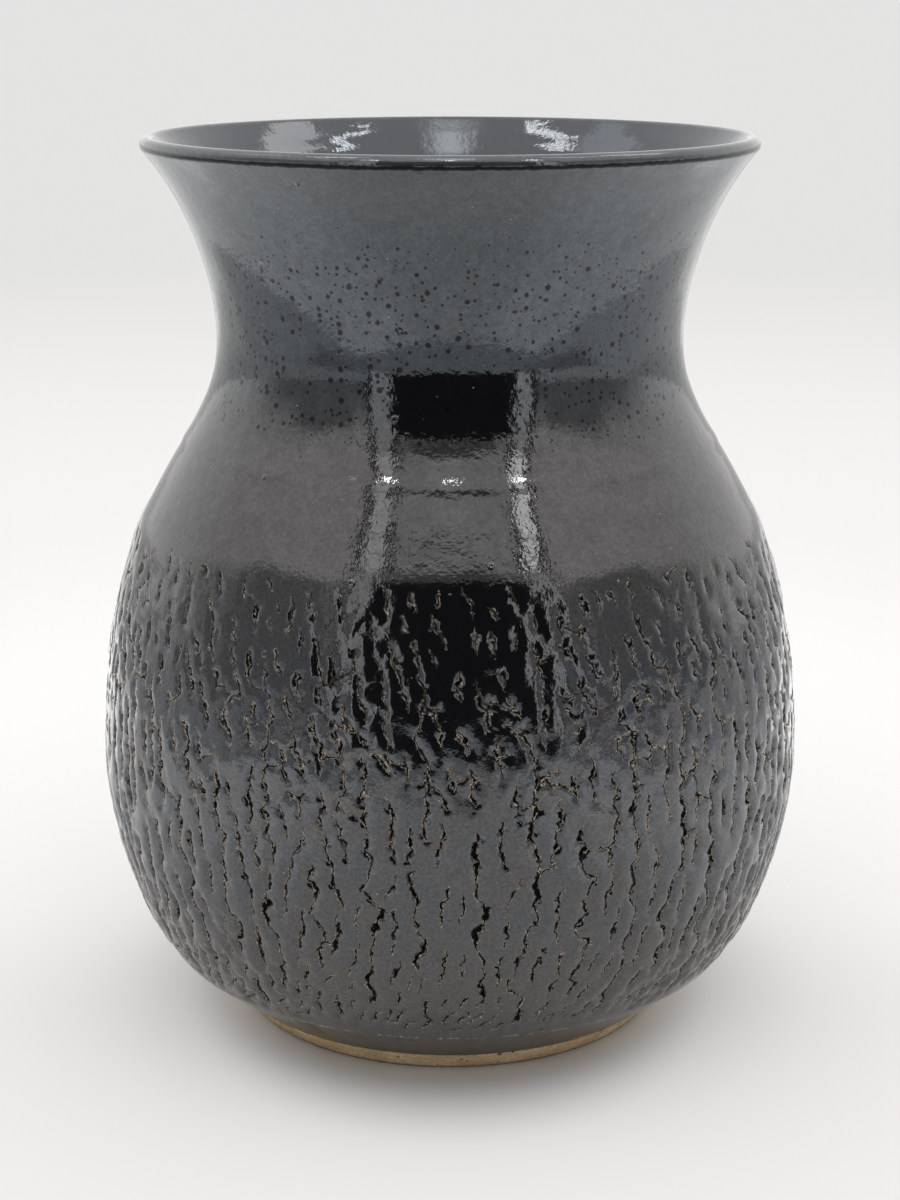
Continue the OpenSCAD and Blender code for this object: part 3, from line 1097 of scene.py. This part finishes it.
# %% Turn the liner
LINER_COLUMNS = 240
bowl_h = 40.0
floor_r = 32.0
liner_ring_depth = -0.10
liner_ring_pitch = 5.5
bowl_pull_wall = 15.0
bowl_pull_floor = 18.0
neck_thin = np.linspace(wall_t, lip_t, len(neck_line))
inside_neck = sunk(neck_line, neck_thin)[::-1]
inside_high = sunk(high_line, wall_t)[::-1]
inside_low = sunk(low_line[low_line[:, 1] >= bowl_h], wall_t)[::-1]
wall_end = inside_low[-1]
wall_dir = (inside_low[-1] - inside_low[-2]) / np.hypot(*(inside_low[-1] - inside_low[-2]))
bowl = bow(wall_end, wall_end + bowl_pull_wall * wall_dir,
           point(floor_r + bowl_pull_floor, floor_h), point(floor_r, floor_h))
inside_line = np.vstack([inside_neck, inside_high[1:], inside_low[1:], bowl[1:], [point(0, floor_h)]])
liner_face = rippled(evenly(inside_line, 0.9), liner_ring_depth, liner_ring_pitch)
liner_back = evenly(inside_line, 4.0)
liner_back = sunk(liner_back, glaze_t)[::-1]
liner_back[0] = point(0, floor_h - glaze_t)
liner_glaze = turned("glazed_inside", np.vstack([liner_face, liner_back, liner_face[:1]]), LINER_COLUMNS)
smooth(liner_glaze, 50)
print("liner shell:", len(liner_glaze.data.polygons), "faces")

# %% [markdown]
# ## The clay body
# The clay is one turned lump. It only shows at the bare foot, where the glaze was wiped off, and
# underneath, where the foot ring was trimmed with a tool. The foot has fine rows, and the parts
# under the coats have coarse ones and stay a hair away from the coats.

# %% Outline of the clay
foot_ring_w = 8.0
foot_hollow = 3.0
foot_round = 0.7
under_coat = 0.03
hollow_r = foot_r - foot_ring_w
strip = (bare_top - foot_edge) / np.hypot(*(bare_top - foot_edge))
outer_corner = bow(foot_edge - point(foot_round, 0), foot_edge, foot_edge, foot_edge + foot_round * strip, 9)
inner_corner = arc(point(hollow_r + foot_round, foot_round), foot_round, 180, 270, 7)
hollow = np.array([point(0, foot_hollow), point(hollow_r - foot_hollow, foot_hollow), inner_corner[0]])
ring_face = np.array([inner_corner[-1], outer_corner[0]])
strip_face = evenly(np.array([outer_corner[-1], bare_top]), 0.3)
foot_line = np.vstack([evenly(hollow, 1.2), inner_corner[1:], evenly(ring_face, 0.8)[1:],
                       outer_corner[1:], strip_face[1:]])
coarse = evenly(belly_line, 4.0)
under_belly = sunk(coarse, under_coat + glaze_t + skin_t * soft_step((run_of(coarse) - run_at(trim_h)) / 4))
under_collar = sunk(evenly(collar_line, 4.0), glaze_t + under_coat)
core = arc(bead, bead_r - glaze_t - under_coat, lip_turn - 90, lip_turn + 90, 9)
under_liner = sunk(evenly(inside_line, 4.0), glaze_t + under_coat)
under_liner[-1] = point(0, floor_h - glaze_t - under_coat)
clay_outline = np.vstack([foot_line, under_belly, under_collar[1:], core[1:], under_liner[1:]])
print("clay outline:", len(clay_outline), "points")

# %% [markdown]
# ### A gritty foot
# Trimming drags grains of sand through the clay. Where it is bare, a cloud texture displaces it a
# little, always inwards, so no grain sticks out under the foot.

# %% Turn the clay
CLAY_COLUMNS = 512
grit_depth = 0.28
grit_size = 1.1
foot_fade = 0.3
foot_margin = 0.15

clay_body = turned("fired_clay", clay_outline, CLAY_COLUMNS)
places = points_of(clay_body)
shown = soft_step((bare_h - foot_margin - places[:, 2]) / foot_fade)
foot_group = clay_body.vertex_groups.new(name="foot")
for index in np.flatnonzero(shown > 0):
    foot_group.add([int(index)], float(shown[index]), "REPLACE")
grit = bpy.data.textures.new("grit", "CLOUDS")
grit.noise_scale = grit_size * MM
grit.noise_depth = 2
apply_modifier(clay_body, "DISPLACE", texture=grit, texture_coords="LOCAL", vertex_group="foot",
               strength=grit_depth * MM, mid_level=1.0)
smooth(clay_body, 60)
print("clay:", len(clay_body.data.polygons), "faces")

# %% [markdown]
# ## The bare clay
# Unglazed stoneware is matt and sandy. Its tan is blotched by the fire, dotted with iron and pitted
# where grains of sand were dragged out. Two sizes of noise make the blotches and the grain, and
# cells make the dots.

# %% Bare clay
material, tree, shader, place = finish_of("bare_clay")
blotch = speckle(tree, place, 9, 3)
sand = speckle(tree, place, 0.7, 3, 0.65)
tan = blend(tree, ramp(tree, blotch, 0.35, 0.65), (0.63, 0.47, 0.27, 1), (0.78, 0.62, 0.40, 1))
tan = blend(tree, ramp(tree, sand, 0.30, 0.72), blend(tree, 0.55, tan, (0.25, 0.17, 0.09, 1)), tan)
for cell_mm, rare, biggest in ((2.6, 0.70, 0.26), (1.2, 0.55, 0.30)):
    cells = add(tree, "TexVoronoi", {"Vector": place, "Scale": 1 / (cell_mm * MM), "Randomness": 1.0})
    luck = add(tree, "SeparateColor", {0: cells.outputs["Color"]})
    dot_size = ramp(tree, luck.outputs[0], rare, 1.0, 0.0, biggest)
    dots = ramp(tree, sums(tree, "SUBTRACT", dot_size, cells.outputs["Distance"]), 0.0, 0.06)
    tan = blend(tree, dots, tan, (0.06, 0.042, 0.03, 1))
# painted contact shadow: the lowest millimetre of the foot and the ring it stands on are darkened
foot_level = add(tree, "SeparateXYZ", {0: place}).outputs["Z"]
tan = blend(tree, ramp(tree, foot_level, 0.0011, 0.0004, 0.0, 0.6), tan, (0.06, 0.045, 0.03, 1))
tree.links.new(tan, shader.inputs["Base Color"])
shader.inputs["Roughness"].default_value = 0.85
shader.inputs["Specular IOR Level"].default_value = 0.25
bumps = add(tree, "Bump", {"Strength": 0.7, "Distance": 0.12 * MM, "Height": sand})
tree.links.new(bumps.outputs[0], shader.inputs["Normal"])
clay_body.data.materials.append(material)
print("bare clay: %d nodes" % len(tree.nodes))

# %% [markdown]
# ## The glaze
# The glaze is glass loaded with iron: almost no colour of its own, and a strong mirror. Its skin is
# not flat. Tiny dimples, under a millimetre across, break the edges of what it mirrors, and slow
# waves bend them. Here and there a bubble left a pinhole, and pale grains of dust stuck. One recipe
# serves every coat, so that no seam shows between them.

# %% The glaze that all coats share
glaze_black = (0.0045, 0.0047, 0.005, 1)
mirror_tint = (0.95, 0.96, 0.98, 1)
shoulder_tint = (0.965, 0.957, 0.955, 1)
neck_tint = (0.86, 0.945, 1.0, 1)
# painted shade: the inside mirrors less than the same glaze does outside, so the mouth looks darker
shaded_liner_tint = (0.72, 0.78, 0.84, 1)
no_mirror = (0.0, 0.0, 0.0, 1)
GLAZE_IOR = 2.06
PINHOLE_CELL = 9.0
DUST_CELL = 2.3
grain_pale = (0.40, 0.39, 0.37, 1)


def dimples(tree, place, pock_depth):
    """The bump of the glaze's skin: slow waves, lumps, dimples and a few pinholes with a raised ring."""
    normal = None
    for size_mm, detail, depth_mm in ((6.0, 1, 0.07), (2.3, 1, 0.035), (0.8, 2, pock_depth)):
        waves = speckle(tree, place, size_mm, detail)
        bump = add(tree, "Bump", {"Strength": 1.0, "Distance": depth_mm * MM, "Height": waves})
        if normal is not None:
            tree.links.new(normal, bump.inputs["Normal"])
        normal = bump.outputs[0]
    cells = add(tree, "TexVoronoi", {"Vector": place, "Scale": 1 / (PINHOLE_CELL * MM)})
    luck = add(tree, "SeparateColor", {0: cells.outputs["Color"]}).outputs[0]
    off = sums(tree, "MULTIPLY", cells.outputs["Distance"], PINHOLE_CELL)
    ring = band(tree, off, 0.25, 0.55, 0.6, 0.95)
    ring = sums(tree, "MULTIPLY", ring, ramp(tree, luck, 0.80, 0.84))
    holes = add(tree, "Bump", {"Strength": 1.0, "Distance": 0.12 * MM, "Height": ring, "Normal": normal})
    return holes.outputs[0]


def dust(tree, place):
    """Tiny pale grains that stuck in the glaze, one in every few cells."""
    cells = add(tree, "TexVoronoi", {"Vector": place, "Scale": 1 / (DUST_CELL * MM)})
    luck = add(tree, "SeparateColor", {0: cells.outputs["Color"]}).outputs[0]
    off = sums(tree, "MULTIPLY", cells.outputs["Distance"], DUST_CELL)
    return sums(tree, "MULTIPLY", ramp(tree, off, 0.15, 0.09), ramp(tree, luck, 0.70, 0.95, 0.0, 1.0))


def mottled(tree, place, tint, strength, size_mm, detail=3.0, roughness=0.5):
    """The tint with lumps of that size where the glaze mirrors less."""
    lumps = ramp(tree, speckle(tree, place, size_mm, detail, roughness), 0.36, 0.64, strength, 0.0)
    return blend(tree, lumps, tint, no_mirror)


def glaze_shader(shader):
    """The values that every coat of glaze has."""
    shader.inputs["IOR"].default_value = GLAZE_IOR
    shader.inputs["Specular IOR Level"].default_value = 0.5


print("glaze IOR:", GLAZE_IOR)

# %% [markdown]
# ### Iron specks on the neck
# Dots of iron in the clay melt through the glaze and leave dull dark specks, close together round
# the narrow of the neck and rare under the lip. Cells of two sizes place them, and a chance drawn
# for each cell sets its dot. The cells are pushed about by noise first, because no speck is quite
# round.

# %% Iron specks
material, tree, shader, place = finish_of("speckled_glaze")
glaze_shader(shader)
level = add(tree, "SeparateXYZ", {0: place}).outputs["Z"]
crowd_low = ramp(tree, level, 0.124, 0.140, 0.2, 1.0)
crowd = sums(tree, "MULTIPLY", crowd_low, ramp(tree, level, 0.164, 0.182, 1.0, 0.25))
wobble = add(tree, "TexNoise", {"Vector": place, "Scale": 1 / (1.2 * MM), "Detail": 2.0})
push = add(tree, "VectorMath", {0: wobble.outputs["Color"], "Scale": 0.35 * MM}, operation="SCALE")
shifted = add(tree, "VectorMath", {0: place, 1: push.outputs[0]}, operation="ADD")
specks = None
for cell_mm, biggest, rare in ((1.9, 0.40, 0.0), (1.25, 0.37, 0.10)):
    cells = add(tree, "TexVoronoi", {"Vector": shifted.outputs[0], "Scale": 1 / (cell_mm * MM)})
    luck = add(tree, "SeparateColor", {0: cells.outputs["Color"]}).outputs[0]
    size = sums(tree, "MULTIPLY", ramp(tree, luck, rare, 1.0, 0.0, biggest), crowd)
    near = sums(tree, "SUBTRACT", size, cells.outputs["Distance"])
    dot = ramp(tree, near, 0.0, 0.15)
    specks = dot if specks is None else sums(tree, "MAXIMUM", specks, dot)
specks = sums(tree, "MULTIPLY", specks, 0.85)
print("specks: %d nodes" % len(tree.nodes))

# %% [markdown]
# ### The colour of the neck
# The mirror of the neck is a little bluer than that of the shoulder, and it is mottled in several sizes.
# Round the lip, a dark ragged line on the underside of the bead is painted shade. The bead above it is
# paler, partly from thin glaze and partly as a painted lightening of the dark that it mirrors, and the flare
# under the lip has a paler colour too. The inside has none of that: its mirror is bluish like the neck's but
# dimmer, a painted shade inside the mouth. An attribute tells the outside from the inside.

# %% Glaze of the neck and the liner
tint = blend(tree, ramp(tree, level, 0.128, 0.150), shoulder_tint, neck_tint)
tint = mottled(tree, place, tint, 0.15, 0.5, 4, 0.7)
for lump_mm, strength in ((8.0, 0.05), (2.4, 0.11), (1.0, 0.12)):
    tint = mottled(tree, place, tint, strength, lump_mm)
waver = sums(tree, "MULTIPLY", sums(tree, "SUBTRACT", speckle(tree, place, 1.6, 3), 0.5), 0.0006)
lip_level = sums(tree, "ADD", level, waver)
flat = add(tree, "VectorMath", {0: place, 1: (1, 1, 0)}, operation="MULTIPLY").outputs[0]
from_axis = add(tree, "VectorMath", {0: flat}, operation="LENGTH").outputs["Value"]
lip_side = ramp(tree, from_axis, 0.0622, 0.0628)
# painted shade: a dark ragged line on the underside of the bead, with its mirror taken away
under_bead_shade = sums(tree, "MULTIPLY", band(tree, lip_level, 0.1872, 0.1875, 0.1880, 0.1882), lip_side)
tint = blend(tree, sums(tree, "MULTIPLY", under_bead_shade, 0.9), tint, no_mirror)
is_outside = add(tree, "Attribute", attribute_name="outside").outputs["Fac"]
tint = blend(tree, is_outside, shaded_liner_tint, tint)
tree.links.new(blend(tree, specks, tint, (0.12, 0.125, 0.135, 1)), shader.inputs["Specular Tint"])
# the bead above that line is paler, partly from thin glaze and partly as a painted lightening of the dark it
# mirrors; the flare under the lip has a paler colour too
pale = sums(tree, "MULTIPLY", ramp(tree, level, 0.172, 0.184, 0.0, 0.5), is_outside)
pale = sums(tree, "MAXIMUM", pale, sums(tree, "MULTIPLY", lip_side, ramp(tree, lip_level, 0.1881, 0.1886)))
colour = blend(tree, pale, glaze_black, (0.042, 0.042, 0.043, 1))
colour = blend(tree, specks, colour, (0.002, 0.0018, 0.0017, 1))
colour = blend(tree, under_bead_shade, colour, (0.004, 0.0035, 0.003, 1))
colour = blend(tree, dust(tree, place), colour, grain_pale)
tree.links.new(colour, shader.inputs["Base Color"])
gloss = ramp(tree, speckle(tree, place, 14, 2), 0.3, 0.7, 0.02, 0.05)
tree.links.new(sums(tree, "MAXIMUM", gloss, sums(tree, "MULTIPLY", specks, 0.2)), shader.inputs["Roughness"])
tree.links.new(dimples(tree, place, 0.026), shader.inputs["Normal"])
neck_glaze.data.materials.append(material)
liner_glaze.data.materials.append(material)
print("neck glaze: %d nodes" % len(tree.nodes))

# %% [markdown]
# ### Where the glaze breaks
# Glaze runs off sharp edges, so along each tear the clay shows through as a thin broken line of tan, and
# inside the tear the torn clay is dull brown. The middle of an open tear is painted black, a painted shade
# of its depth. The distances from the tear, which the mesh carries, draw all three, and noise breaks the
# lines up. High on the belly the tears are half healed and show less tan. A broken tan line also marks the
# burr over the turned flare.

# %% Tears in the glaze
material, tree, shader, place = finish_of("torn_glaze")
glaze_shader(shader)
edge_mm = add(tree, "Attribute", attribute_name="tear_edge").outputs["Fac"]
across_mm = add(tree, "Attribute", attribute_name="tear_across").outputs["Fac"]
half_mm = add(tree, "Attribute", attribute_name="tear_half").outputs["Fac"]
off = add(tree, "Math", {0: across_mm}, operation="ABSOLUTE").outputs[0]
away = sums(tree, "MAXIMUM", sums(tree, "SUBTRACT", off, half_mm), sums(tree, "SUBTRACT", edge_mm, 0.25))
fray = speckle(tree, place, 0.5, 3, 0.6)
frayed = sums(tree, "ADD", away, sums(tree, "MULTIPLY", sums(tree, "SUBTRACT", fray, 0.5), 0.42))
patch = speckle(tree, place, 1.5, 3, 0.65)
level = add(tree, "SeparateXYZ", {0: place}).outputs["Z"]
healed = ramp(tree, level, 0.078, 0.096, 0.0, 0.09)
shows = ramp(tree, sums(tree, "SUBTRACT", patch, healed), 0.42, 0.52)
lips = band(tree, frayed, 0.05, 0.09, 0.16, 0.215)
burr_shows = ramp(tree, speckle(tree, place, 1.4, 3), 0.46, 0.58, 0.0, 0.8)
burr_line = sums(tree, "MULTIPLY", band(tree, level, 0.0141, 0.0144, 0.0147, 0.0150), burr_shows)
tan_line = sums(tree, "MAXIMUM", sums(tree, "MULTIPLY", lips, shows), burr_line)
tan_grain = ramp(tree, speckle(tree, place, 0.4, 2), 0.38, 0.62)
tan_mix = blend(tree, tan_grain, (0.08, 0.062, 0.044, 1), (0.42, 0.35, 0.26, 1))
brown = ramp(tree, frayed, 0.18, 0.07)
# painted shade: the middle of an open tear is painted black where its depth lies in shade
slit_shade = ramp(tree, frayed, 0.05, -0.01)
colour = blend(tree, sums(tree, "MULTIPLY", brown, 0.8), glaze_black, (0.028, 0.019, 0.013, 1))
colour = blend(tree, tan_line, colour, tan_mix)
colour = blend(tree, slit_shade, colour, (0.005, 0.004, 0.0035, 1))
colour = blend(tree, dust(tree, place), colour, grain_pale)
tree.links.new(colour, shader.inputs["Base Color"])
print("tears in the glaze: %d nodes" % len(tree.nodes))

# %% [markdown]
# ### The gloss of the belly
# Torn clay mirrors nothing. The glaze between the tears drifts from cool to warm in soft blotches,
# it is warmer low on the belly and browner on the turned flare, and at its upper edge it takes on
# the tint of the shoulder.

# %% Gloss of the belly
dull = sums(tree, "MAXIMUM", sums(tree, "MULTIPLY", tan_line, 0.7), sums(tree, "MULTIPLY", brown, 0.75))
dull = sums(tree, "MAXIMUM", dull, slit_shade)
cool = ramp(tree, speckle(tree, place, 6, 2), 0.42, 0.60)
warm = ramp(tree, speckle(tree, place, 4.3, 2), 0.54, 0.68, 0.0, 0.8)
tint = blend(tree, cool, mirror_tint, (0.88, 0.93, 1.0, 1))
tint = blend(tree, warm, tint, (0.97, 0.90, 0.88, 1))
tint = blend(tree, ramp(tree, level, 0.045, 0.025), tint, (0.97, 0.935, 0.92, 1))
tint = blend(tree, ramp(tree, level, 0.090, 0.108), tint, shoulder_tint)
tint = blend(tree, ramp(tree, level, 0.0150, 0.0130), tint, (0.66, 0.60, 0.53, 1))
tint = mottled(tree, place, tint, 0.32, 0.6, 4, 0.75)
tree.links.new(blend(tree, dull, tint, (0.06, 0.06, 0.06, 1)), shader.inputs["Specular Tint"])
gloss = ramp(tree, speckle(tree, place, 14, 2), 0.3, 0.7, 0.06, 0.11)
tree.links.new(sums(tree, "MAXIMUM", gloss, sums(tree, "MULTIPLY", dull, 0.7)), shader.inputs["Roughness"])
tree.links.new(dimples(tree, place, 0.040), shader.inputs["Normal"])
belly_glaze.data.materials.append(material)
print("belly glaze: %d nodes" % len(tree.nodes))

# %% [markdown]
# ## Join the pieces to the solids
# Each mesh rides on the vase's one body and stands for the solids that it covers. The torn coat
# stands for two: the skin and the glaze on it, which tore together.

# %% Ride and replace
stand_ins = (
    (clay_body, "clay", ("clay_body",)),
    (belly_glaze, "belly_glaze", ("belly_glaze", "crackle_skin")),
    (neck_glaze, "neck_glaze", ("neck_glaze",)),
    (liner_glaze, "liner_glaze", ("liner_glaze",)),
)
for piece, slot, nodes in stand_ins:
    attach(piece, "root")
    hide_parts(*nodes)
    print(piece.name, "stands for", ", ".join(nodes))
